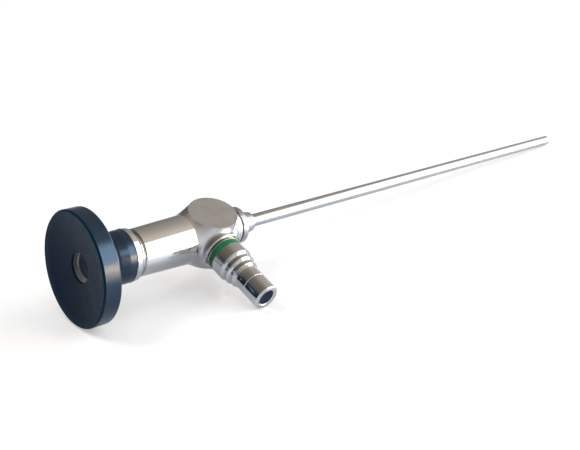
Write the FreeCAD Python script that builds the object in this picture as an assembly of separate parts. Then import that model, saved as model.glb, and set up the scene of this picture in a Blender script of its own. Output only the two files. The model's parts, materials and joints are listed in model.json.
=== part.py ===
import FreeCAD, Part
import math
import os

os.makedirs("parts", exist_ok=True)

# Rigid endoscope, sizes in mm. Stations x run along the shaft axis from the front edge of the
# eyecup toward the tip, stations s run along the light post from the shaft axis outward.

# Fits
slide_gap = 0.02
screw_gap = 0.03
press_gap = 0.01

# Eyecup
rim_r = 16.0
rim_edge = 0.45
rim_len = 5.0
rim_back_bevel = 0.35
land_outer_r = 15.55
land_inner_r = 13.9
land_depth = 0.25
dish_x = 1.9
dish_inner_r = 4.35
lip_x = 2.1
lip_r = 4.08
lip_end_x = 2.4
rear_face = (5.25, 11.6)
cove_mid = (6.3, 8.05)
waist = (8.9, 6.92)
waist_end_x = 9.5
neck_x = 12.8
neck_r = 7.5
neck_end_x = 14.8
neck_edge = 0.12

# Window in the eyecup
frame_x = 3.3
frame_r = 5.55
frame_nose_r = 4.5
frame_front_r = 3.98
frame_step_x = 3.35
frame_step_end_x = 3.6
frame_throat_r = 3.7
window_x = 4.05
window_len = 2.15
window_r = 4.25
window_edge = 0.12
retainer_bore_r = 3.4
slot_width = 0.8
slot_depth = 0.5

# Ocular barrel, its neck ring and seals
nose_x = 8.2
nose_r = 5.55
nose_bevel = 0.2
nose_groove_x = 10.7
nose_groove_len = 1.0
nose_groove_r = 4.82
neck_seal_width = 0.8
ring_end_x = 17.0
ring_front_r = 7.62
ring_front_edge = 0.12
ring_rear_r = 7.4
ring_rear_edge = 0.25
groove_end_x = 18.05
groove_r = 6.2
barrel_front_r = 6.8
barrel_bevel = 0.2
joint_x = 34.5
barrel_rear_r = 7.34
spigot_r = 5.6
spigot_end_x = 38.0
spigot_bevel = 0.2
spigot_groove_x = 35.6
spigot_groove_len = 1.0
spigot_groove_r = 5.0
barrel_seal_width = 0.8
barrel_bore_r = 4.3

# Ocular tube and its lenses
lock_ring_x = 9.0
lock_bore_r = 3.5
ocular_tube_x = 12.0
ocular_tube_end_x = 33.0
ocular_bore_r = 3.5
ocular_throat_r = 2.6
lens_retainer_x = 12.6
lens_retainer_bore_r = 2.9
lens_clearance = 0.05
crown_front_edge_x = 14.0
crown_front_bulge = 0.7
cement_edge_x = 16.6
cement_bulge = 0.8
flint_rear_x = 19.0
lens_spacer_bore_r = 3.0
field_stop_x = 28.0
field_stop_len = 0.6
field_stop_r = 2.2

# Body block
drum_x = 43.1
drum_r = 7.4
drum_half_height = 7.56
drum_edge = 0.2
flank_sag = 0.55
chamber_r = 4.6
chamber_end_x = 47.6
stub_end_x = 52.2
stub_r = 5.5
stub_edge = 0.15
stub_flare_x = 51.3
stub_flare_mid = (50.1, 5.82)
stub_root = (49.0, 6.6)
stub_inner_x = 45.0

# Light post, stations s from the shaft axis
post_x = 42.2
boss_end = 9.3
boss_r = 6.25
boss_edge = 0.22
boss_foot_r = 1.2
boss_inner = 3.0
socket_floor = 7.8
socket_r = 5.95
post_inner_end = 4.9
post_spigot_r = 3.6
collar_step = 8.9
collar_foot_r = 5.92
collar_neck_r = 5.3
washer_start = 9.7
washer_end = 10.0
washer_r = 5.52
ring_seat_r = 4.6
colour_end = 11.8
colour_r = 5.36
colour_edge = 0.08
grip_end = 15.5
grip_r = 5.4
crest1 = (15.94, 5.15)
valley1 = (16.45, 4.72)
land1_end = (17.2, 4.72)
crest2_start = (17.75, 4.95)
crest2 = (18.07, 4.75)
valley2 = (18.6, 4.25)
land2_end = (19.35, 4.25)
crest3_start = (19.9, 4.4)
crest3 = (20.21, 4.2)
foot = (20.9, 3.86)
nipple_start = 22.0
nipple_foot_r = 3.71
nipple_end = 30.4
nipple_r = 3.77
nipple_edge = 0.3
nipple_groove = 24.4
nipple_groove_len = 0.24
nipple_groove_depth = 0.14
nipple_spigot_start = 18.0
nipple_spigot_r = 3.0
post_bore_r = 1.1

# Light guide
cone_start = 12.0
cone_small_r = 0.95
guide_ferrule_len = 4.4
cone_full = nipple_end - guide_ferrule_len
light_face_r = 2.37
face_edge = 0.25
guide_ferrule_r = 2.95
bundle_r = 0.95
bundle_offset = 2.65
bundle_bend_r = 3.0
gather_r = 3.6
gather_len = 0.6
funnel_end_x = 47.7

# Shaft ferrule
ferrule_inner_x = 47.8
ferrule_r = 3.5
shadow_groove_end_x = 52.5
shadow_groove_r = 4.7
flange_edge = 0.3
flange_r = 5.66
flange_end_x = 54.41
collar_root = (54.6, 4.1)
collar_start = (55.2, 3.8)
collar_end_x = 59.15
collar_end_r = 3.0
collar_edge = 0.3

# Shaft
shaft_start_x = 48.2
tip_x = 234.3
shaft_r = 2.0
shaft_root_r = 2.2
shaft_root_end_x = 59.35
shaft_bore_r = 1.8
tip_round = 0.12
lens_tube_r = 1.45
lens_tube_bore_r = 1.32

# Rod lenses and objective
train_x = 35.0
rod_count = 6
rod_r = 1.28
rod_spacer_len = 5.0
rod_spacer_bore_r = 1.1
rear_lens_len = 3.0
middle_lens_len = 2.0
front_lens_len = 2.6
tip_window_len = 0.7
objective_spacer_len = 3.0
objective_bulge = 0.35
objective_hollow = 0.4

# The objective ends at the tip window, and the rods share what is left of the tube
lens_tube_end_x = tip_x - tip_window_len
front_lens_x = lens_tube_end_x - front_lens_len
middle_lens_x = front_lens_x - objective_spacer_len - middle_lens_len
objective_x = middle_lens_x - objective_spacer_len - rear_lens_len
rod_len = (objective_x - train_x - rod_spacer_len) / rod_count - rod_spacer_len

ORIGIN = FreeCAD.Vector(0, 0, 0)
X_AXIS = FreeCAD.Vector(1, 0, 0)
Y_AXIS = FreeCAD.Vector(0, 1, 0)
Z_AXIS = FreeCAD.Vector(0, 0, 1)


def at(x, r):
    """Point of a turned outline, x along the axis and r away from it."""
    return FreeCAD.Vector(x, 0, r)


def turned(*outline):
    """Solid turned about the X axis. A step of two points is an arc through the first to the second."""
    edges = []
    here = outline[0]
    for step in outline[1:] + (outline[0],):
        if isinstance(step[0], tuple):
            edges.append(Part.Arc(at(*here), at(*step[0]), at(*step[1])).toShape())
            here = step[1]
        else:
            edges.append(Part.makeLine(at(*here), at(*step)))
            here = step
    return Part.Face(Part.Wire(edges)).revolve(ORIGIN, X_AXIS, 360)


def rod(start, end, r):
    """Plain cylinder along the X axis."""
    return Part.makeCylinder(r, end - start, FreeCAD.Vector(start, 0, 0), X_AXIS)


def tube(start, end, bore_r, r):
    """Plain ring or tube along the X axis."""
    return rod(start, end, r).cut(rod(start, end, bore_r))


def seal_ring(groove_x, groove_len, width, groove_r, bore_r):
    """Square-section seal in the middle of a groove, pressed between its floor and a bore."""
    start = groove_x + (groove_len - width) / 2
    return tube(start, start + width, groove_r + press_gap, bore_r - press_gap)


def on_post(shape):
    """Turn a piece built along +X so that it points outward along the light post."""
    placed = shape.copy()
    placed.rotate(ORIGIN, Z_AXIS, -90)
    placed.translate(FreeCAD.Vector(post_x, 0, 0))
    return placed


def dome(edge_x, r, bulge):
    """Arc step of a lens face, from its edge at radius r to its vertex on the axis."""
    ball_r = (r * r + bulge * bulge) / (2 * abs(bulge))
    drop = ball_r - math.sqrt(ball_r * ball_r - r * r / 4)
    vertex = edge_x + bulge
    return ((vertex - math.copysign(drop, bulge), r / 2), (vertex, 0))


def spanner_slots(ring, end_x, reach):
    """Cut a slot across the face of a threaded ring for the two pins of a spanner."""
    slot = Part.makeBox(slot_depth, 2 * reach, slot_width)
    slot.translate(FreeCAD.Vector(end_x - slot_depth, -reach, -slot_width / 2))
    return ring.cut(slot)


def eyecup():
    """Cup with a shallow dish and a thin lip in front, a coved waist and a neck behind."""
    bore_r = frame_r + screw_gap
    nose_bore_r = frame_nose_r + slide_gap
    return turned(
        (frame_x, nose_bore_r), (lip_end_x, nose_bore_r), (lip_end_x, lip_r), (lip_x, lip_r),
        (dish_x, dish_inner_r), (land_depth, land_inner_r),
        (0, land_outer_r), (rim_edge, rim_r), (rim_len - rim_back_bevel, rim_r),
        (rim_len, rim_r - rim_back_bevel), rear_face, (cove_mid, waist), (waist_end_x, waist[1]),
        (neck_x, neck_r), (neck_end_x - neck_edge, neck_r),
        (neck_end_x, neck_r - neck_edge), (neck_end_x, bore_r), (frame_x, bore_r))


def window_frame():
    """Metal ring that lines the aperture behind the cup's lip and holds the window behind a step."""
    seat_r = window_r + slide_gap
    return turned(
        (lip_end_x, frame_front_r), (frame_step_x, frame_front_r), (frame_step_end_x, frame_throat_r),
        (window_x, frame_throat_r), (window_x, seat_r), (nose_x, seat_r), (nose_x, frame_r),
        (frame_x, frame_r), (frame_x, frame_nose_r), (lip_end_x, frame_nose_r))


def bevelled_disc(start, end, r, bevel):
    """Disc or rod along X with both edges bevelled."""
    return turned(
        (start, 0), (start, r - bevel), (start + bevel, r), (end - bevel, r), (end, r - bevel), (end, 0))


def neck_ring():
    """Polished ring clamped between the eyecup and the shoulder of the barrel."""
    bore_r = nose_r + slide_gap
    return turned(
        (neck_end_x, bore_r), (neck_end_x, ring_front_r - ring_front_edge),
        (neck_end_x + ring_front_edge, ring_front_r), (ring_end_x - ring_rear_edge, ring_rear_r),
        (ring_end_x, ring_rear_r - ring_rear_edge), (ring_end_x, bore_r))


def ocular_barrel():
    """Tapered barrel with a nose for the eyecup, a groove and a spigot for the body."""
    nose_groove_end = nose_groove_x + nose_groove_len
    spigot_groove_end = spigot_groove_x + spigot_groove_len
    return turned(
        (nose_x, barrel_bore_r), (nose_x, nose_r - nose_bevel), (nose_x + nose_bevel, nose_r),
        (nose_groove_x, nose_r), (nose_groove_x, nose_groove_r), (nose_groove_end, nose_groove_r),
        (nose_groove_end, nose_r), (ring_end_x, nose_r), (ring_end_x, groove_r),
        (groove_end_x, groove_r), (groove_end_x, barrel_front_r - barrel_bevel),
        (groove_end_x + barrel_bevel, barrel_front_r), (joint_x, barrel_rear_r), (joint_x, spigot_r),
        (spigot_groove_x, spigot_r), (spigot_groove_x, spigot_groove_r),
        (spigot_groove_end, spigot_groove_r), (spigot_groove_end, spigot_r),
        (spigot_end_x - spigot_bevel, spigot_r), (spigot_end_x, spigot_r - spigot_bevel),
        (spigot_end_x, barrel_bore_r))


def ocular_tube():
    """Tube of the eyepiece lenses with an inner shoulder for the field stop."""
    r = barrel_bore_r - slide_gap
    shoulder_x = field_stop_x + field_stop_len
    return turned(
        (ocular_tube_x, ocular_bore_r), (shoulder_x, ocular_bore_r), (shoulder_x, ocular_throat_r),
        (ocular_tube_end_x, ocular_throat_r), (ocular_tube_end_x, r), (ocular_tube_x, r))


def ocular_crown_lens():
    """Convex lens nearest the eye."""
    r = ocular_bore_r - lens_clearance
    rear = dome(cement_edge_x, r, cement_bulge)
    front = dome(crown_front_edge_x, lens_retainer_bore_r, -crown_front_bulge)
    return turned(
        front[1], (front[0], (crown_front_edge_x, lens_retainer_bore_r)), (crown_front_edge_x, r),
        (cement_edge_x, r), rear)


def ocular_flint_lens():
    """Lens cemented to the back of the crown lens."""
    r = ocular_bore_r - lens_clearance
    front = dome(cement_edge_x, r, cement_bulge)
    return turned(
        front[1], (front[0], (cement_edge_x, r)), (flint_rear_x, r), (flint_rear_x, 0))


def flank(side):
    """Concave surface from half the rim of an end face to half the circle of the barrel joint."""
    half_turn = [math.radians(a) for a in range(-90, 91, 15)]
    rim_points = []
    sag_points = []
    joint_points = []
    for a in half_turn:
        rim = FreeCAD.Vector(drum_x - drum_r * math.cos(a), drum_r * math.sin(a), side * drum_half_height)
        joint = FreeCAD.Vector(joint_x, drum_r * math.sin(a), side * drum_r * math.cos(a))
        run = rim - joint
        inward = FreeCAD.Vector(abs(run.z), 0, -side * run.x)
        reach = run.Length / (drum_x - joint_x)
        sag_points.append((rim + joint) * 0.5 + inward.normalize() * flank_sag * reach * reach)
        rim_points.append(rim)
        joint_points.append(joint)
    surface = Part.BSplineSurface()
    surface.interpolate([rim_points, sag_points, joint_points])
    return surface.toShape()


def edge_between(face, first, second):
    """Edge of a face that joins two of its corners."""
    for edge in face.Edges:
        ends = [edge.Vertexes[0].Point, edge.Vertexes[-1].Point]
        for a, b in (ends, ends[::-1]):
            if a.distanceToPoint(first) < 1e-4 and b.distanceToPoint(second) < 1e-4:
                return edge


def body_shoulder():
    """Half of the body toward the eyecup, a round joint drawn out to the full round end faces."""
    faces = []
    rims = []
    sides = {-1: [], 1: []}
    corners = {}
    for side in (-1, 1):
        surface = flank(side)
        faces.append(surface)
        for y in (-1, 1):
            corners[(side, y)] = FreeCAD.Vector(drum_x, y * drum_r, side * drum_half_height)
            joint_point = FreeCAD.Vector(joint_x, y * drum_r, 0)
            sides[y].append(edge_between(surface, corners[(side, y)], joint_point))
        rim = edge_between(surface, corners[(side, -1)], corners[(side, 1)])
        chord = Part.makeLine(corners[(side, -1)], corners[(side, 1)])
        faces.append(Part.Face(Part.Wire([rim, chord])))
        joint_ends = [FreeCAD.Vector(joint_x, y * drum_r, 0) for y in (-1, 1)]
        rims.append(edge_between(surface, joint_ends[0], joint_ends[1]))
    faces.append(Part.Face(Part.Wire(rims)))
    for y in (-1, 1):
        upright = Part.makeLine(corners[(-1, y)], corners[(1, y)])
        faces.append(Part.Face(Part.Wire([sides[y][0], upright, sides[y][1]])))
    loop = [corners[(-1, -1)], corners[(-1, 1)], corners[(1, 1)], corners[(1, -1)], corners[(-1, -1)]]
    faces.append(Part.Face(Part.makePolygon(loop)))
    shell = Part.makeShell(faces)
    shell.sewShape()
    solid = Part.Solid(shell)
    if solid.Volume < 0:
        solid.reverse()
    return solid


def round_foot(shape, post_r, round_r, end):
    """Round the corner where a post of radius post_r meets the body, its end at station end left alone."""
    foot_edges = []
    for edge in shape.Edges:
        reach = edge.LastParameter - edge.FirstParameter
        points = [edge.valueAt(edge.FirstParameter + reach * k / 6) for k in range(7)]
        if all(abs(math.hypot(p.x - post_x, p.z) - post_r) < 1e-3 and -p.y < end for p in points):
            foot_edges.append(edge)
    return shape.makeFillet(round_r, foot_edges)


def body_block():
    """Body with flat round end faces, coved flanks, a post socket and a stub for the shaft."""
    half_drum = Part.makeCylinder(
        drum_r, 2 * drum_half_height, FreeCAD.Vector(drum_x, 0, -drum_half_height), Z_AXIS, 180)
    half_drum.rotate(FreeCAD.Vector(drum_x, 0, 0), Z_AXIS, -90)
    boss = on_post(turned(
        (boss_inner, 0), (boss_inner, boss_r), (boss_end - boss_edge, boss_r),
        (boss_end, boss_r - boss_edge), (boss_end, 0)))
    block = body_shoulder().fuse([half_drum, boss]).removeSplitter()
    block = round_foot(block, boss_r, boss_foot_r, boss_end - boss_edge - boss_foot_r / 2)
    stub = turned(
        (stub_inner_x, 0), (stub_inner_x, stub_root[1]), stub_root, stub_flare_mid, (stub_flare_x, stub_r),
        (stub_end_x - stub_edge, stub_r), (stub_end_x, stub_r - stub_edge), (stub_end_x, 0))
    block = block.fuse([stub]).removeSplitter()
    bores = [
        rod(joint_x, spigot_end_x, spigot_r + slide_gap),
        rod(spigot_end_x, chamber_end_x, chamber_r),
        rod(chamber_end_x, stub_end_x, ferrule_r + slide_gap),
        on_post(rod(0, boss_end, post_spigot_r + slide_gap)),
        on_post(rod(socket_floor, boss_end, socket_r)),
    ]
    return block.cut(bores)


def post_collar():
    """Collar in the socket of the post, its narrower part under the washer."""
    bore_r = post_spigot_r + slide_gap
    return on_post(turned(
        (socket_floor, bore_r), (socket_floor, collar_foot_r), (collar_step, collar_foot_r),
        (collar_step, collar_neck_r), (washer_start, collar_neck_r), (washer_start, bore_r)))


def colour_ring():
    """Coloured ring on the seat of the light post."""
    bore_r = ring_seat_r + slide_gap
    return on_post(turned(
        (washer_end, bore_r), (washer_end, colour_r - colour_edge), (washer_end + colour_edge, colour_r),
        (colour_end - colour_edge, colour_r), (colour_end, colour_r - colour_edge), (colour_end, bore_r)))


def cone_r(s):
    """Radius of the light cone at a station of the post."""
    return cone_small_r + (light_face_r - cone_small_r) * (s - cone_start) / (cone_full - cone_start)


def light_post():
    """Stepped post with a spigot for the body and a threaded seat for the nipple."""
    thread_r = nipple_spigot_r + screw_gap
    return on_post(turned(
        (post_inner_end, post_bore_r), (post_inner_end, post_spigot_r), (washer_start, post_spigot_r),
        (washer_start, ring_seat_r), (colour_end, ring_seat_r), (colour_end, grip_r),
        (grip_end, grip_r), crest1, valley1, land1_end, crest2_start, crest2,
        valley2, land2_end, crest3_start, crest3, foot, (nipple_start, nipple_foot_r),
        (nipple_start, thread_r), (nipple_spigot_start, thread_r),
        (nipple_spigot_start, cone_r(nipple_spigot_start) + screw_gap),
        (cone_start, post_bore_r)))


def light_nipple():
    """End cylinder that takes the light cable, with a fine groove."""
    bore_r = guide_ferrule_r + slide_gap
    groove_end = nipple_groove + nipple_groove_len
    return on_post(turned(
        (nipple_spigot_start, cone_r(nipple_spigot_start) + screw_gap),
        (nipple_spigot_start, nipple_spigot_r), (nipple_start, nipple_spigot_r),
        (nipple_start, nipple_r), (nipple_groove, nipple_r),
        (nipple_groove + nipple_groove_len / 2, nipple_r - nipple_groove_depth),
        (groove_end, nipple_r), (nipple_end - nipple_edge, nipple_r),
        (nipple_end, nipple_r - nipple_edge), (nipple_end, bore_r), (cone_full, bore_r),
        (cone_full, light_face_r + screw_gap)))


def guide_ferrule():
    """Sleeve bonded round the wide end of the light cone."""
    bore_r = light_face_r + press_gap
    return on_post(turned(
        (cone_full, bore_r), (cone_full, guide_ferrule_r), (nipple_end, guide_ferrule_r),
        (nipple_end, bore_r + face_edge), (nipple_end - face_edge, bore_r)))


def light_cone():
    """Glass cone that takes the light at its wide face."""
    return on_post(turned(
        (cone_start, 0), (cone_start, cone_small_r), (cone_full, light_face_r),
        (nipple_end - face_edge, light_face_r), (nipple_end - face_edge, 0)))


def fibre_bundle():
    """Fibres from the cone, bent toward the tip and spread round the lens tube."""
    bend_start = FreeCAD.Vector(post_x, -bundle_offset - bundle_bend_r, 0)
    bend_end = FreeCAD.Vector(post_x + bundle_bend_r, -bundle_offset, 0)
    corner = bundle_bend_r * (1 - math.sqrt(0.5))
    bend_mid = FreeCAD.Vector(post_x + corner, -bundle_offset - corner, 0)
    gather_end = post_x + bundle_bend_r + gather_len
    path = Part.Wire([
        Part.makeLine(FreeCAD.Vector(post_x, -cone_start, 0), bend_start),
        Part.Arc(bend_start, bend_mid, bend_end).toShape(),
        Part.makeLine(bend_end, FreeCAD.Vector(gather_end, -bundle_offset, 0)),
    ])
    start = Part.Wire(Part.makeCircle(bundle_r, FreeCAD.Vector(post_x, -cone_start, 0), Y_AXIS))
    cord = path.makePipeShell([start], True, True)
    bore_r = lens_tube_r + slide_gap
    sleeve_r = shaft_bore_r - slide_gap
    spread = turned(
        (gather_end - gather_len, bore_r), (gather_end - gather_len, gather_r), (gather_end, gather_r),
        (funnel_end_x, sleeve_r), (tip_x, sleeve_r), (tip_x, bore_r))
    return cord.fuse(spread).removeSplitter()


def shaft_ferrule():
    """Flange and tapered collar that hold the shaft in the body."""
    bore_r = shaft_root_r + slide_gap
    return turned(
        (ferrule_inner_x, bore_r), (ferrule_inner_x, ferrule_r), (stub_end_x, ferrule_r),
        (stub_end_x, shadow_groove_r), (shadow_groove_end_x, shadow_groove_r),
        (shadow_groove_end_x, flange_r - flange_edge), (shadow_groove_end_x + flange_edge, flange_r),
        (flange_end_x - flange_edge, flange_r), (flange_end_x, flange_r - flange_edge), collar_root,
        collar_start, (collar_end_x - collar_edge, collar_end_r),
        (collar_end_x, collar_end_r - collar_edge), (collar_end_x, bore_r))


def outer_tube():
    """Outer tube of the shaft, thicker where it is bonded in the ferrule and bevelled at the tip."""
    return turned(
        (shaft_start_x, shaft_bore_r), (shaft_start_x, shaft_root_r), (shaft_root_end_x, shaft_root_r),
        (shaft_root_end_x, shaft_r), (tip_x - tip_round, shaft_r), (tip_x, shaft_r - tip_round),
        (tip_x, shaft_bore_r))


def rod_stations():
    """Start of each rod lens along the shaft."""
    pitch = rod_len + rod_spacer_len
    return [train_x + rod_spacer_len + pitch * i for i in range(rod_count)]


def rod_lenses():
    """Glass rods of the relay."""
    return Part.makeCompound([rod(x, x + rod_len, rod_r) for x in rod_stations()])


def rod_spacers():
    """Equal spacer tubes before, between and after the rods."""
    starts = [train_x] + [x + rod_len for x in rod_stations()]
    return Part.makeCompound([tube(x, x + rod_spacer_len, rod_spacer_bore_r, rod_r) for x in starts])


def objective_rear_lens():
    """Lens with a domed front face."""
    end = objective_x + rear_lens_len
    front = dome(end, rod_spacer_bore_r, objective_bulge)
    return turned((objective_x, 0), (objective_x, rod_r), (end, rod_r), (end, rod_spacer_bore_r), front)


def objective_middle_lens():
    """Lens with a domed rear face."""
    end = middle_lens_x + middle_lens_len
    rear = dome(middle_lens_x, rod_spacer_bore_r, -objective_bulge)
    return turned(
        rear[1], (rear[0], (middle_lens_x, rod_spacer_bore_r)), (middle_lens_x, rod_r), (end, rod_r),
        (end, 0))


def objective_front_lens():
    """Lens with a hollow rear face, next to the tip window."""
    rear = dome(front_lens_x, rod_spacer_bore_r, objective_hollow)
    return turned(
        rear[1], (rear[0], (front_lens_x, rod_spacer_bore_r)), (front_lens_x, rod_r),
        (lens_tube_end_x, rod_r), (lens_tube_end_x, 0))


def objective_spacers():
    """Two equal spacers between the lenses of the objective."""
    starts = [objective_x + rear_lens_len, middle_lens_x + middle_lens_len]
    return Part.makeCompound([tube(x, x + objective_spacer_len, rod_spacer_bore_r, rod_r) for x in starts])


def resting_frame():
    """Axes of the floor on which the rim, the end of the light post and the tip lie."""
    circles = [
        (FreeCAD.Vector(rim_len - rim_back_bevel, 0, 0), X_AXIS, rim_r),
        (FreeCAD.Vector(post_x, nipple_edge - nipple_end, 0), Y_AXIS, nipple_r),
        (FreeCAD.Vector(tip_x - tip_round, 0, 0), X_AXIS, shaft_r),
    ]
    up = FreeCAD.Vector(0, 0, 1)
    for _ in range(20):
        lowest = []
        for centre, axis, r in circles:
            down = axis * up.dot(axis) - up
            lowest.append(centre + down.normalize() * r)
        up = (lowest[1] - lowest[0]).cross(lowest[2] - lowest[0]).normalize()
        if up.z < 0:
            up = up * -1
    along = (X_AXIS - up * up.dot(X_AXIS)).normalize()
    return along, up.cross(along), up


bore_gap_r = barrel_bore_r - screw_gap
window_end_x = window_x + window_len
lens_ring_r = ocular_bore_r - screw_gap

pieces = {
    "eyecup": eyecup(),
    "window_frame": window_frame(),
    "eyepiece_window": bevelled_disc(window_x, window_end_x, window_r, window_edge),
    "window_retainer": spanner_slots(tube(window_end_x, nose_x, retainer_bore_r, window_r), nose_x, window_r),
    "neck_ring": neck_ring(),
    "neck_seal": seal_ring(
        nose_groove_x, nose_groove_len, neck_seal_width, nose_groove_r, frame_r + screw_gap),
    "ocular_barrel": ocular_barrel(),
    "barrel_seal": seal_ring(
        spigot_groove_x, spigot_groove_len, barrel_seal_width, spigot_groove_r, spigot_r + slide_gap),
    "tube_lock_ring": spanner_slots(
        tube(lock_ring_x, ocular_tube_x, lock_bore_r, bore_gap_r), lock_ring_x + slot_depth, bore_gap_r),
    "ocular_tube": ocular_tube(),
    "lens_retainer": tube(lens_retainer_x, crown_front_edge_x, lens_retainer_bore_r, lens_ring_r),
    "ocular_crown_lens": ocular_crown_lens(),
    "ocular_flint_lens": ocular_flint_lens(),
    "lens_spacer": tube(flint_rear_x, field_stop_x, lens_spacer_bore_r, lens_ring_r),
    "field_stop": tube(field_stop_x, field_stop_x + field_stop_len, field_stop_r, lens_ring_r),
    "tube_carrier": tube(ocular_tube_end_x, spigot_end_x, lens_tube_r + press_gap, barrel_bore_r - press_gap),
    "body_block": body_block(),
    "post_collar": post_collar(),
    "post_washer": on_post(tube(washer_start, washer_end, ring_seat_r + slide_gap, washer_r)),
    "colour_ring": colour_ring(),
    "light_post": light_post(),
    "light_nipple": light_nipple(),
    "guide_ferrule": guide_ferrule(),
    "light_cone": light_cone(),
    "fibre_bundle": fibre_bundle(),
    "shaft_ferrule": shaft_ferrule(),
    "outer_tube": outer_tube(),
    "lens_tube": tube(ocular_tube_end_x, lens_tube_end_x, lens_tube_bore_r, lens_tube_r),
    "rod_lenses": rod_lenses(),
    "rod_spacers": rod_spacers(),
    "objective_rear_lens": objective_rear_lens(),
    "objective_middle_lens": objective_middle_lens(),
    "objective_front_lens": objective_front_lens(),
    "objective_spacers": objective_spacers(),
    "tip_window": rod(lens_tube_end_x, tip_x, lens_tube_r),
}

# Resting place: the floor touches three round edges, the origin lies under the middle of the
# whole piece and +X follows the shaft toward its tip.
along, across, up = resting_frame()
turn = FreeCAD.Matrix(
    along.x, along.y, along.z, 0, across.x, across.y, across.z, 0, up.x, up.y, up.z, 0, 0, 0, 0, 1)
resting = FreeCAD.Placement(turn)
laid = {name: shape.transformed(resting.Matrix) for name, shape in pieces.items()}
extent = Part.makeCompound(list(laid.values())).optimalBoundingBox()
shift = FreeCAD.Vector(
    -(extent.XMin + extent.XMax) / 2, -(extent.YMin + extent.YMax) / 2, -extent.ZMin)

for name, shape in laid.items():
    shape.translate(shift)
    shape.exportStep("parts/" + name + ".step")
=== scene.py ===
import json
import math
import bpy
from mathutils import Matrix, Vector

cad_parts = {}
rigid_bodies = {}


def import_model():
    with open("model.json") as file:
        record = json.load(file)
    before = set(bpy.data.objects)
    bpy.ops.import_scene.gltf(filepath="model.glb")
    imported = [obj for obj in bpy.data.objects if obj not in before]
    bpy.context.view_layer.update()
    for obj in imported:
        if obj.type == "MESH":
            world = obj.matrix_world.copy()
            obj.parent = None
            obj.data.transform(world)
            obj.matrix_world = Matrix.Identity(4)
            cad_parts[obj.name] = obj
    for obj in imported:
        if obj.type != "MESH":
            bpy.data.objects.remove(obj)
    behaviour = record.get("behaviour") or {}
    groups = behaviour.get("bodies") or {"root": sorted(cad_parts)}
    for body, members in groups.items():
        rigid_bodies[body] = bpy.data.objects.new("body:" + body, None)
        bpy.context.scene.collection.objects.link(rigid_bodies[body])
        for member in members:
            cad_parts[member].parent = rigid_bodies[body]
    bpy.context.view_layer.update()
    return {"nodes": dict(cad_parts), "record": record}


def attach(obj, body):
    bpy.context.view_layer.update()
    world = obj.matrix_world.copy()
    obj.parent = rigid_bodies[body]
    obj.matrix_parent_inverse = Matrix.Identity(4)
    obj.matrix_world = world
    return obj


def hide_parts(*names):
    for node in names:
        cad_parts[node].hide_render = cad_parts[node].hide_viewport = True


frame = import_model()
scene = bpy.context.scene
scene.view_settings.view_transform = "Standard"

MM = 0.001

# Frames of the shaft and of the light post
# The shaft's X runs along its axis from the front of the eyecup, its Y away from the light post.
# Stations are distances along an axis in millimetres.
SHAFT_MOUNT_STATION = 146.765
POST_STATION = 42.2
mounts = {mount["name"]: mount for mount in frame["record"]["mounts"]}
shaft_x = Vector(mounts["shaft"]["axis"]).normalized()
shaft_y = -Vector(mounts["light_nipple"]["axis"]).normalized()
shaft_z = shaft_x.cross(shaft_y)
shaft_origin = Vector(mounts["shaft"]["pos_m"]) - shaft_x * SHAFT_MOUNT_STATION * MM


def place(x_axis, y_axis, z_axis, origin):
    """Matrix that takes millimetres in a piece's own frame to metres in the row frame."""
    turn = Matrix((x_axis, y_axis, z_axis)).transposed().to_4x4()
    return Matrix.Translation(origin) @ turn @ Matrix.Scale(MM, 4)


ON_SHAFT = place(shaft_x, shaft_y, shaft_z, shaft_origin)
ON_POST = place(-shaft_y, shaft_x, shaft_z, shaft_origin + shaft_x * POST_STATION * MM)


# Shader helpers
# Noise keeps mostly between the first two values, and what it drives is spread over them.
NOISE_LOW = 0.3
NOISE_HIGH = 0.7
TURNED_LINE_STRETCH = 0.15
TURNED_LINE_DEPTH = 0.004 * MM
TURNED_SMEAR_SCALE = (0.12, 0.3, 0.3)
GRAIN_DEPTH = 0.02 * MM
MOTTLE_SCALE = 0.35
GLASS_IOR = 1.52
GLASS_SMEAR_SCALE = 0.6
# Lowest and highest roughness, as shares of the one that is asked for
TURNED_SPREAD = (0.75, 1.3)
GRAINED_SPREAD = (0.88, 1.12)
GLASS_SPREAD = (1.0, 2.5)


def shader(name):
    """New material, its node tree and its main shader."""
    material = bpy.data.materials.new(name)
    material.use_nodes = True
    tree = material.node_tree
    return material, tree, tree.nodes["Principled BSDF"]


def node(tree, kind, inputs=None, **settings):
    """New shader node. Each input is a value to set or an output to link."""
    made = tree.nodes.new(kind)
    for key, value in settings.items():
        setattr(made, key, value)
    for key, value in (inputs or {}).items():
        if isinstance(value, bpy.types.NodeSocket):
            tree.links.new(value, made.inputs[key])
        else:
            made.inputs[key].default_value = value
    return made


def scaled_object_coords(tree, scale):
    """Object coordinates scaled along the three axes."""
    coords = node(tree, "ShaderNodeTexCoord")
    inputs = {"Vector": coords.outputs["Object"], "Scale": scale}
    return node(tree, "ShaderNodeMapping", inputs).outputs["Vector"]


def noise(tree, vector, scale, detail=2.0, roughness=0.5):
    """Noise over the given coordinates."""
    inputs = {"Vector": vector, "Scale": scale, "Detail": detail, "Roughness": roughness}
    return node(tree, "ShaderNodeTexNoise", inputs).outputs["Fac"]


def remap(tree, value, low, high, from_low=NOISE_LOW, from_high=NOISE_HIGH, interpolation="LINEAR"):
    """Value between from_low and from_high spread over the range low to high."""
    inputs = {"Value": value, "From Min": from_low, "From Max": from_high, "To Min": low, "To Max": high}
    return node(tree, "ShaderNodeMapRange", inputs, interpolation_type=interpolation).outputs["Result"]


def bump(tree, height, strength, distance):
    """Normal bent by a height."""
    inputs = {"Height": height, "Strength": strength, "Distance": distance}
    return node(tree, "ShaderNodeBump", inputs).outputs["Normal"]


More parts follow.
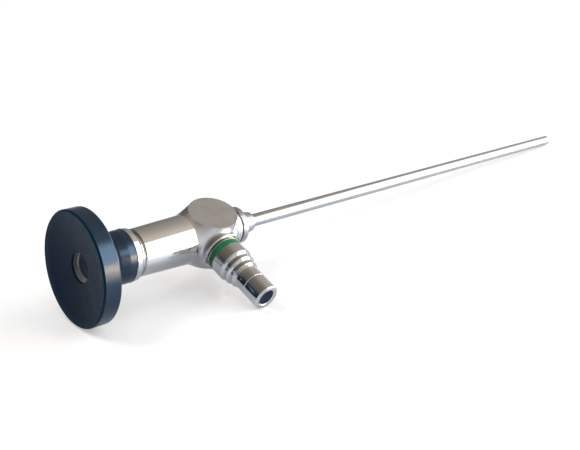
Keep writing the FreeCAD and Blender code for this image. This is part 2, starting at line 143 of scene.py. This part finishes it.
def ramp(tree, value, stops):
    """Colour ramp by a value, through (position, colour) stops."""
    made = node(tree, "ShaderNodeValToRGB", {"Fac": value})
    elements = made.color_ramp.elements
    while len(elements) < len(stops):
        elements.new(0.5)
    for element, (position, colour) in zip(elements, stops):
        element.position = position
        element.color = (*colour, 1)
    return made.outputs["Color"]


def tinted(tree, value, dark, light):
    """Colour between two tones by a noise value."""
    return ramp(tree, value, ((NOISE_LOW, dark), (NOISE_HIGH, light)))


def mottle_surface(tree, bsdf, mottle, dark, light, rough, spread):
    """Let one noise vary the colour between two tones and the roughness round its value."""
    tree.links.new(tinted(tree, mottle, dark, light), bsdf.inputs["Base Color"])
    roughness = remap(tree, mottle, rough * spread[0], rough * spread[1])
    tree.links.new(roughness, bsdf.inputs["Roughness"])


def turned_metal(name, dark, light, rough, line_pitch, line_strength):
    """Steel with fine lines round the X axis of its piece, for a piece built in millimetres."""
    material, tree, bsdf = shader(name)
    bsdf.inputs["Metallic"].default_value = 1
    line_scale = (1 / line_pitch, TURNED_LINE_STRETCH, TURNED_LINE_STRETCH)
    lines = noise(tree, scaled_object_coords(tree, line_scale), 1.0, detail=3.0)
    smear_coords = scaled_object_coords(tree, TURNED_SMEAR_SCALE)
    smear = noise(tree, smear_coords, 1.0, detail=4.0, roughness=0.6)
    mottle_surface(tree, bsdf, smear, dark, light, rough, TURNED_SPREAD)
    tree.links.new(bump(tree, lines, line_strength, TURNED_LINE_DEPTH), bsdf.inputs["Normal"])
    return material


def grained(name, dark, light, metallic, rough, grain, strength, unit=1.0):
    """Surface with an even fine grain and a faint broad mottle. Unit is a millimetre in its piece."""
    material, tree, bsdf = shader(name)
    bsdf.inputs["Metallic"].default_value = metallic
    coords = scaled_object_coords(tree, (1 / unit, 1 / unit, 1 / unit))
    fine = noise(tree, coords, 1 / grain)
    broad = noise(tree, coords, MOTTLE_SCALE, detail=4.0, roughness=0.6)
    mottle_surface(tree, bsdf, broad, dark, light, rough, GRAINED_SPREAD)
    tree.links.new(bump(tree, fine, strength, GRAIN_DEPTH), bsdf.inputs["Normal"])
    return material


def clear(name, colour, rough, clearness=1.0):
    """Glass with faint smears. A clearness under one leaves some of its own colour."""
    material, tree, bsdf = shader(name)
    bsdf.inputs["Base Color"].default_value = (*colour, 1)
    bsdf.inputs["Transmission Weight"].default_value = clearness
    bsdf.inputs["IOR"].default_value = GLASS_IOR
    coords = scaled_object_coords(tree, (1 / MM, 1 / MM, 1 / MM))
    smear = noise(tree, coords, GLASS_SMEAR_SCALE, detail=4.0)
    roughness = remap(tree, smear, rough * GLASS_SPREAD[0], rough * GLASS_SPREAD[1])
    tree.links.new(roughness, bsdf.inputs["Roughness"])
    return material


def painted_outer_highlight(material, ring_r, blur, colour):
    """Give a turned surface another colour outside a radius from its axis, with a soft change."""
    tree = material.node_tree
    base = tree.nodes["Principled BSDF"].inputs["Base Color"]
    coords = node(tree, "ShaderNodeTexCoord")
    across = node(tree, "ShaderNodeVectorMath", {
        0: coords.outputs["Object"], 1: (0, 1, 1)}, operation="MULTIPLY")
    radius = node(tree, "ShaderNodeVectorMath", {0: across.outputs["Vector"]}, operation="LENGTH")
    outside = remap(tree, radius.outputs["Value"], 0, 1, ring_r - blur, ring_r + blur)
    mix = node(tree, "ShaderNodeMixRGB", {
        "Fac": outside, "Color1": base.links[0].from_socket, "Color2": (*colour, 1)})
    tree.links.new(mix.outputs["Color"], base)


# Materials
# Turned metal: name, dark and light tone, roughness, pitch and strength of its lines.
# Grained: name, dark and light tone, share of metal, roughness, size and strength of its grain, unit.
polished = turned_metal("polished_steel", (0.60, 0.59, 0.575), (0.66, 0.65, 0.635), 0.07, 0.4, 0.5)
ground = turned_metal("ground_steel", (0.46, 0.45, 0.445), (0.51, 0.50, 0.495), 0.12, 0.5, 0.4)
satin_turned = turned_metal(
    "satin_turned_steel", (0.42, 0.42, 0.425), (0.48, 0.48, 0.485), 0.30, 0.3, 0.5)
frame_metal = grained("frame_steel", (0.24, 0.22, 0.22), (0.32, 0.295, 0.295), 0.5, 0.35, 0.1, 0.2)
satin_body = grained("satin_steel", (0.54, 0.53, 0.525), (0.60, 0.59, 0.585), 1.0, 0.32, 0.25, 0.6, MM)
inner_metal = grained("inner_steel", (0.45, 0.45, 0.45), (0.52, 0.52, 0.52), 1.0, 0.4, 0.1, 0.1, MM)
black_metal = grained(
    "blackened_metal", (0.012, 0.012, 0.013), (0.02, 0.02, 0.022), 0.6, 0.5, 0.1, 0.1, MM)
brass = grained("brass", (0.60, 0.45, 0.20), (0.68, 0.52, 0.26), 1.0, 0.3, 0.1, 0.1, MM)
seal_rubber = grained(
    "seal_rubber", (0.012, 0.011, 0.013), (0.02, 0.018, 0.021), 0.0, 0.42, 0.08, 0.2, MM)
black_plastic = grained(
    "black_plastic", (0.001, 0.005, 0.013), (0.002, 0.007, 0.017), 0.0, 0.23, 0.25, 0.12)
matt_plastic = grained(
    "matt_black_plastic", (0.001, 0.0075, 0.019), (0.0012, 0.0095, 0.023), 0.0, 0.45, 0.25, 0.12)
green_plastic = grained("green_plastic", (0.0, 0.088, 0.029), (0.0, 0.115, 0.039), 0.0, 0.32, 0.1, 0.15)
window_glass = clear("window_glass", (0.03, 0.065, 0.13), 0.02, clearness=0.5)
lens_glass = clear("lens_glass", (0.95, 0.98, 1.0), 0.01)
fibre_glass = grained("fibre", (0.62, 0.60, 0.50), (0.72, 0.70, 0.60), 0.0, 0.35, 0.03, 0.3, MM)
light_face = grained(
    "light_face", (0.003, 0.008, 0.022), (0.012, 0.026, 0.062), 0.0, 0.5, 0.2, 0.3, MM)

# How strongly and in which tint the materials without metal mirror
COOL = (0.50, 0.71, 1.0)
MIRRORING = (
    (light_face, 0.15, (0.4, 0.6, 1.0)), (black_plastic, 0.75, COOL), (matt_plastic, 0.14, COOL),
    (green_plastic, 0.4, (1.0, 1.0, 1.0)),
)
for material, level, tint in MIRRORING:
    inputs = material.node_tree.nodes["Principled BSDF"].inputs
    inputs["Specular IOR Level"].default_value = level
    inputs["Specular Tint"].default_value = (*tint, 1)

# The front of the eyecup is a little lighter in its outer ring: a painted highlight for the light that
# its bevelled land catches
OUTER_RING_R = 14.1
painted_outer_highlight(matt_plastic, OUTER_RING_R, blur=0.3, colour=(0.001, 0.0155, 0.030))

# Materials of the CAD nodes
NODE_MATERIALS = {
    "eyecup": black_plastic, "window_frame": inner_metal, "eyepiece_window": window_glass,
    "window_retainer": black_metal, "neck_ring": polished, "neck_seal": seal_rubber,
    "ocular_barrel": polished, "barrel_seal": seal_rubber, "tube_lock_ring": black_metal,
    "ocular_tube": black_metal, "lens_retainer": black_metal, "ocular_crown_lens": lens_glass,
    "ocular_flint_lens": lens_glass, "lens_spacer": black_metal, "field_stop": black_metal,
    "tube_carrier": brass, "body_block": satin_body, "post_collar": polished,
    "post_washer": inner_metal, "colour_ring": green_plastic, "light_post": inner_metal,
    "light_nipple": inner_metal, "guide_ferrule": inner_metal, "light_cone": light_face,
    "fibre_bundle": fibre_glass, "shaft_ferrule": satin_body, "outer_tube": inner_metal,
    "lens_tube": inner_metal, "rod_lenses": lens_glass, "rod_spacers": black_metal,
    "objective_rear_lens": lens_glass, "objective_middle_lens": lens_glass,
    "objective_front_lens": lens_glass, "objective_spacers": black_metal, "tip_window": window_glass,
}
for name, material in NODE_MATERIALS.items():
    for slot in frame["nodes"][name].material_slots:
        slot.material = material


# Turned pieces
CORNER_STEPS = 6
LARGEST_SIDE_SHARE = 0.48
SHARP_ANGLE = math.radians(16)


def rounded(outline):
    """Outline with each corner that gives a third number rounded to that radius."""
    points = []
    for i, corner in enumerate(outline):
        here = Vector(corner[:2])
        if len(corner) == 2:
            points.append(here)
            continue
        before = Vector(outline[i - 1][:2]) - here
        after = Vector(outline[(i + 1) % len(outline)][:2]) - here
        reach = min(corner[2] / math.tan(before.angle(after) / 2),
                    before.length * LARGEST_SIDE_SHARE, after.length * LARGEST_SIDE_SHARE)
        first = here + before.normalized() * reach
        last = here + after.normalized() * reach
        for step in range(CORNER_STEPS + 1):
            t = step / CORNER_STEPS
            points.append(first * (1 - t) ** 2 + here * 2 * t * (1 - t) + last * t * t)
    return points


def arc(first, middle, last, steps):
    """Points of the circular arc through three points, without its first point."""
    (ax, ay), (bx, by), (cx, cy) = first, middle, last
    a2, b2, c2 = ax * ax + ay * ay, bx * bx + by * by, cx * cx + cy * cy
    d = 2 * (ax * (by - cy) + bx * (cy - ay) + cx * (ay - by))
    ux = (a2 * (by - cy) + b2 * (cy - ay) + c2 * (ay - by)) / d
    uy = (a2 * (cx - bx) + b2 * (ax - cx) + c2 * (bx - ax)) / d
    start, through, end = (math.atan2(y - uy, x - ux) for x, y in (first, middle, last))
    r = math.hypot(ax - ux, ay - uy)
    if (through - start) % math.tau < (end - start) % math.tau:
        sweep = (end - start) % math.tau
    else:
        sweep = -((start - end) % math.tau)
    angles = [start + sweep * k / steps for k in range(1, steps + 1)]
    return [(ux + r * math.cos(a), uy + r * math.sin(a)) for a in angles]


def lathe(name, outline, placed, material, replaced, segments=160):
    """Closed outline of (x, r) points turned into a piece that stands for a CAD node."""
    points = rounded(outline)
    angles = [math.tau * k / segments for k in range(segments)]
    verts = [(x, r * math.cos(a), r * math.sin(a)) for x, r in points for a in angles]
    faces = []
    for i in range(len(points)):
        here = i * segments
        there = ((i + 1) % len(points)) * segments
        for k in range(segments):
            j = (k + 1) % segments
            faces.append((here + k, here + j, there + j, there + k))
    mesh = bpy.data.meshes.new(name)
    mesh.from_pydata(verts, [], faces)
    mesh.validate()
    piece = bpy.data.objects.new(name, mesh)
    piece.matrix_world = placed
    scene.collection.objects.link(piece)
    mesh.shade_smooth()
    mesh.set_sharp_from_angle(angle=SHARP_ANGLE)
    mesh.materials.append(material)
    weighted = piece.modifiers.new("normals", "WEIGHTED_NORMAL")
    weighted.keep_sharp = True
    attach(piece, "root")
    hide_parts(replaced)
    return piece


cup = lathe("eyecup_body", [
    (3.3, 4.52), (2.4, 4.52), (2.4, 4.08), (2.1, 4.08, 0.06), (1.9, 4.35, 0.15),
    *arc((1.9, 4.35), (1.22, 9.2), (0.25, 13.9), 16),
    (0.0, 15.55, 0.12), (0.45, 16.0, 0.2), (4.65, 16.0, 0.25), (5.0, 15.65, 0.2), (5.25, 11.6, 0.5),
    *arc((5.25, 11.6), (6.25, 8.1), (8.6, 6.95), 14), *arc((8.6, 6.95), (9.5, 7.01), (10.3, 7.22), 10),
    (12.85, 7.5, 0.3),
    (14.68, 7.5, 0.05), (14.8, 7.38, 0.03), (14.8, 5.58), (3.3, 5.58),
], ON_SHAFT, black_plastic, "eyecup", segments=256)

# The front of the eyecup is matt, from the hole to the rounding of the rim
FRONT_DEPTH = 2.3
FRONT_R = 15.9
cup.data.materials.append(matt_plastic)
for face in cup.data.polygons:
    if face.center.x < FRONT_DEPTH and math.hypot(face.center.y, face.center.z) < FRONT_R:
        face.material_index = 1

lathe("window_ring", [
    (2.4, 3.98, 0.05), (3.35, 3.98, 0.05), (3.6, 3.7, 0.05), (4.05, 3.7, 0.03), (4.05, 4.27),
    (8.2, 4.27), (8.2, 5.55), (3.3, 5.55), (3.3, 4.5), (2.4, 4.5, 0.05),
], ON_SHAFT, frame_metal, "window_frame")

lathe("clamp_ring", [
    (14.8, 5.57), (14.8, 7.5, 0.04), (14.92, 7.62, 0.08), (16.5, 7.44, 0.25), (17.0, 7.02, 0.15),
    (17.0, 5.57),
], ON_SHAFT, polished, "neck_ring")

lathe("barrel", [
    (8.2, 4.3), (8.2, 5.35), (8.4, 5.55), (10.7, 5.55), (10.7, 4.82), (11.7, 4.82), (11.7, 5.55),
    (17.0, 5.55), (17.0, 6.2, 0.08), (18.05, 6.2, 0.08), (18.05, 6.6, 0.08), (18.25, 6.8, 0.12),
    (34.5, 7.34, 0.05), (34.5, 5.6), (35.6, 5.6), (35.6, 5.0), (36.6, 5.0), (36.6, 5.6), (37.8, 5.6),
    (38.0, 5.4), (38.0, 4.3),
], ON_SHAFT, polished, "ocular_barrel", segments=192)

lathe("collar", [
    (7.8, 3.62), (7.8, 5.92), (8.9, 5.92, 0.06), (8.9, 5.3, 0.06), (9.7, 5.3), (9.7, 3.62),
], ON_POST, polished, "post_collar", segments=192)

lathe("washer", [
    (9.7, 4.62), (9.7, 5.52, 0.08), (10.0, 5.52, 0.08), (10.0, 4.62),
], ON_POST, polished, "post_washer")

lathe("green_ring", [
    (10.0, 4.62), (10.0, 5.36, 0.1), (11.8, 5.36, 0.1), (11.8, 4.62),
], ON_POST, green_plastic, "colour_ring")

lathe("post", [
    (4.9, 1.1), (4.9, 3.6), (9.7, 3.6), (9.7, 4.6), (11.8, 4.6), (11.8, 5.4, 0.04), (15.5, 5.4, 0.1),
    (15.94, 5.15, 0.12), (16.45, 4.72, 0.15), (17.2, 4.72, 0.1), (17.75, 4.95, 0.12),
    (18.07, 4.75, 0.12), (18.6, 4.25, 0.15), (19.35, 4.25, 0.1), (19.9, 4.4, 0.12),
    (20.21, 4.2, 0.12), (20.9, 3.86, 0.3), (22.0, 3.71), (22.0, 3.03), (18.0, 3.03), (18.0, 1.6),
    (12.0, 1.1),
], ON_POST, polished, "light_post", segments=192)

lathe("nipple", [
    (18.0, 1.6), (18.0, 3.0), (22.0, 3.0), (22.0, 3.77, 0.05), (24.4, 3.77, 0.04),
    (24.52, 3.63, 0.05), (24.64, 3.77, 0.06), (30.1, 3.77, 0.12), (30.4, 3.47, 0.1), (30.4, 2.97),
    (26.0, 2.97), (26.0, 2.4),
], ON_POST, polished, "light_nipple", segments=192)

lathe("guide_sleeve", [
    (26.0, 2.38), (26.0, 2.95), (30.4, 2.95, 0.04), (30.4, 2.63, 0.04), (30.15, 2.38, 0.04),
], ON_POST, polished, "guide_ferrule")

lathe("shaft_collar", [
    (47.8, 2.22), (47.8, 3.5), (52.2, 3.5), (52.2, 4.7), (52.5, 4.7, 0.05), (52.5, 5.36, 0.06),
    *arc((52.5, 5.36), (52.58, 5.58), (52.8, 5.66), 5), (54.11, 5.66),
    *arc((54.11, 5.66), (54.33, 5.58), (54.41, 5.36), 5), (54.6, 4.1, 0.1),
    *arc((54.6, 4.1), (54.85, 3.9), (55.2, 3.8), 5), (58.85, 3.0),
    *arc((58.85, 3.0), (59.06, 2.91), (59.15, 2.7), 6), (59.15, 2.22),
], ON_SHAFT, satin_turned, "shaft_ferrule")

lathe("shaft_tube", [
    (48.2, 1.8), (48.2, 2.2), (59.35, 2.2, 0.05), (59.35, 2.0), (234.18, 2.0, 0.08),
    (234.3, 1.88, 0.03), (234.3, 1.8),
], ON_SHAFT, ground, "outer_tube", segments=128)


# Camera, measured on the photograph, for an image 580 wide and 450 high
IMAGE_WIDTH = 580
LENS_PIXELS = 826.9
SHIFT_PIXELS = (-60.5, -89.5)
SENSOR_WIDTH = 36
CAMERA_AT = (-0.208184, -0.180945, 0.112763)
CAMERA_DEGREES = (73.2648, -0.6760, -45.9636)
camera_data = bpy.data.cameras.new("camera")
camera_data.sensor_width = SENSOR_WIDTH
camera_data.lens = LENS_PIXELS / IMAGE_WIDTH * SENSOR_WIDTH
camera_data.shift_x, camera_data.shift_y = (pixels / IMAGE_WIDTH for pixels in SHIFT_PIXELS)
camera_data.clip_start = 0.01
camera_data.clip_end = 20
camera = bpy.data.objects.new("camera", camera_data)
camera.location = CAMERA_AT
camera.rotation_euler = [math.radians(a) for a in CAMERA_DEGREES]
scene.collection.objects.link(camera)
scene.camera = camera

# Floor: pale and slightly glossy, and it takes the shadows
# Away from the shadows a glow makes it white to the camera, and mirrors and glass show a share of it.
# The glow rises over a reach in metres from its centre beside the eyecup, so the floor there stays
# darker: painted shade that deepens the eyecup's shadow.
FLOOR_HALF = 4.0
FLOOR_ROUGHNESS = 0.16
FLOOR_IOR = 1.45
FLOOR_TONE_TO_CAMERA = (0.50, 0.50, 0.50)
# The darker, bluer tone that the object and its mirrors see is a painted tint of the floor's reflections
# and bounce light
FLOOR_TONE_TO_OBJECT = (0.42, 0.46, 0.53)
GLOW_CENTRE = (-0.10, -0.01, 0)
GLOW_REACH = (0.05, 0.50)
GLOW_STRENGTH = (0.37, 0.68)
MIRRORED_SHARE = 0.35
floor_mesh = bpy.data.meshes.new("floor")
floor_mesh.from_pydata(
    [(x * FLOOR_HALF, y * FLOOR_HALF, 0) for x, y in ((-1, -1), (1, -1), (1, 1), (-1, 1))],
    [], [(0, 1, 2, 3)])
floor = bpy.data.objects.new("floor", floor_mesh)
scene.collection.objects.link(floor)

floor_material, tree, bsdf = shader("floor")
seen = node(tree, "ShaderNodeLightPath")
# Painted tint: the floor is darker and bluer to every ray but the camera's
tone = node(tree, "ShaderNodeMix", {
    "Factor": seen.outputs["Is Camera Ray"],
    "A": (*FLOOR_TONE_TO_OBJECT, 1), "B": (*FLOOR_TONE_TO_CAMERA, 1),
}, data_type="RGBA")
tree.links.new(tone.outputs["Result"], bsdf.inputs["Base Color"])
bsdf.inputs["Roughness"].default_value = FLOOR_ROUGHNESS
bsdf.inputs["IOR"].default_value = FLOOR_IOR
coords = node(tree, "ShaderNodeTexCoord")
away = node(tree, "ShaderNodeVectorMath", {
    0: coords.outputs["Object"], 1: GLOW_CENTRE}, operation="DISTANCE")
# Weaker glow near the centre: painted shade round the eyecup
rise = remap(tree, away.outputs["Value"], *GLOW_STRENGTH, *GLOW_REACH, "SMOOTHSTEP")
mirrored = node(tree, "ShaderNodeMath", {
    0: seen.outputs["Is Glossy Ray"], 1: seen.outputs["Is Transmission Ray"]}, operation="ADD")
shown = node(tree, "ShaderNodeMath", {
    0: mirrored.outputs["Value"], 1: MIRRORED_SHARE, 2: seen.outputs["Is Camera Ray"],
}, operation="MULTIPLY_ADD")
strength = node(tree, "ShaderNodeMath", {0: shown.outputs["Value"], 1: rise}, operation="MULTIPLY")
glow = node(tree, "ShaderNodeEmission", {"Color": (1, 1, 1, 1), "Strength": strength.outputs["Value"]})
both = node(tree, "ShaderNodeAddShader", {0: bsdf.outputs["BSDF"], 1: glow.outputs["Emission"]})
tree.links.new(both.outputs["Shader"], tree.nodes["Material Output"].inputs["Surface"])
floor.data.materials.append(floor_material)

# World: bright to the right of the camera and dim to its left, warm overhead and cool near the floor
# The camera itself sees it white.
CAMERA_RIGHT = (0.692, -0.722, 0.0)
SIDE_RAMP = (
    (0.0, 0.07), (0.15, 0.13), (0.25, 0.17), (0.36, 0.25), (0.46, 0.37), (0.55, 0.44), (0.65, 0.55),
    (0.77, 0.76), (1.0, 1.0),
)
HEIGHT_RAMP = (
    (0.0, (0.94, 0.97, 1.06)), (0.35, (0.97, 0.98, 1.07)), (0.55, (1.06, 0.97, 0.88)),
    (0.88, (1.05, 0.96, 0.84)), (0.97, (0.80, 0.74, 0.67)),
)
world = bpy.data.worlds.new("world")
scene.world = world
world.use_nodes = True
tree = world.node_tree
sky = tree.nodes["Background"]
direction = node(tree, "ShaderNodeTexCoord").outputs["Generated"]
sideways = node(tree, "ShaderNodeVectorMath", {0: direction, 1: CAMERA_RIGHT}, operation="DOT_PRODUCT")
brightness = ramp(tree, remap(tree, sideways.outputs["Value"], 0, 1, -1, 1),
                  [(position, (value, value, value)) for position, value in SIDE_RAMP])
height = node(tree, "ShaderNodeSeparateXYZ", {"Vector": direction})
warmth = ramp(tree, height.outputs["Z"], HEIGHT_RAMP)
toned = node(tree, "ShaderNodeVectorMath", {0: brightness, 1: warmth}, operation="MULTIPLY")
tree.links.new(toned.outputs["Vector"], sky.inputs["Color"])
white = node(tree, "ShaderNodeBackground", {"Color": (1, 1, 1, 1), "Strength": 1.0})
seen = node(tree, "ShaderNodeLightPath")
mix = node(tree, "ShaderNodeMixShader", {
    0: seen.outputs["Is Camera Ray"], 1: sky.outputs["Background"], 2: white.outputs["Background"]})
tree.links.new(mix.outputs["Shader"], tree.nodes["World Output"].inputs["Surface"])


# Lamps
LAMP_AIM = (-0.05, 0.0, 0.015)


def softbox(name, place_at, size, power, colour, receivers=None, in_mirrors=True):
    """Soft rectangular lamp aimed at the object. It can light one group alone and stay out of mirrors."""
    light = bpy.data.lights.new(name, "AREA")
    light.shape = "RECTANGLE"
    light.size, light.size_y = size
    light.energy = power
    light.color = colour
    lamp = bpy.data.objects.new(name, light)
    lamp.location = place_at
    lamp.visible_glossy = in_mirrors
    lamp.rotation_euler = (Vector(LAMP_AIM) - Vector(place_at)).to_track_quat("-Z", "Y").to_euler()
    scene.collection.objects.link(lamp)
    if receivers is not None:
        lamp.light_linking.receiver_collection = receivers


# Steel mirrors the two large softboxes more than dark parts do, so they come in three strengths
bright_group = bpy.data.collections.new("bright_steel")
satin_group = bpy.data.collections.new("satin_steel")
dark_group = bpy.data.collections.new("dark_and_floor")
LAMP_GROUPS = {
    polished: bright_group, ground: bright_group, satin_turned: bright_group, satin_body: satin_group,
}
for thing in scene.objects:
    if thing.type == "MESH":
        first = thing.data.materials[0] if thing.data.materials else None
        LAMP_GROUPS.get(first, dark_group).objects.link(thing)

# Place and size of each lamp in metres, then its power in watts and its colour
UPPER = ((0.59, -0.503, 0.504), (1.15, 0.545))
LOWER = ((0.61, -0.670, 0.120), (0.95, 0.22))
OVERHEAD = ((-0.09, -0.236, 0.67), (0.5, 0.5))
LEFT = ((-0.317, 0.278, 0.475), (0.3, 0.3))
softbox("upper", *UPPER, 9.0, (0.80, 0.93, 1.0), dark_group)
softbox("lower", *LOWER, 12.3, (1.0, 0.62, 0.37), dark_group)
softbox("upper_satin", *UPPER, 8.5, (0.96, 0.98, 1.0), satin_group)
softbox("lower_satin", *LOWER, 5.0, (1.0, 0.96, 0.92), satin_group)
softbox("upper_gentle", *UPPER, 3.6, (0.97, 0.99, 1.0), bright_group)
softbox("lower_gentle", *LOWER, 1.05, (1.0, 0.96, 0.92), bright_group)

# Two small lamps give the soft shadows on the floor
softbox("overhead", *OVERHEAD, 1.8, (0.94, 0.97, 1.0), in_mirrors=False)
softbox("left", *LEFT, 2.4, (1.0, 1.0, 1.0), in_mirrors=False)
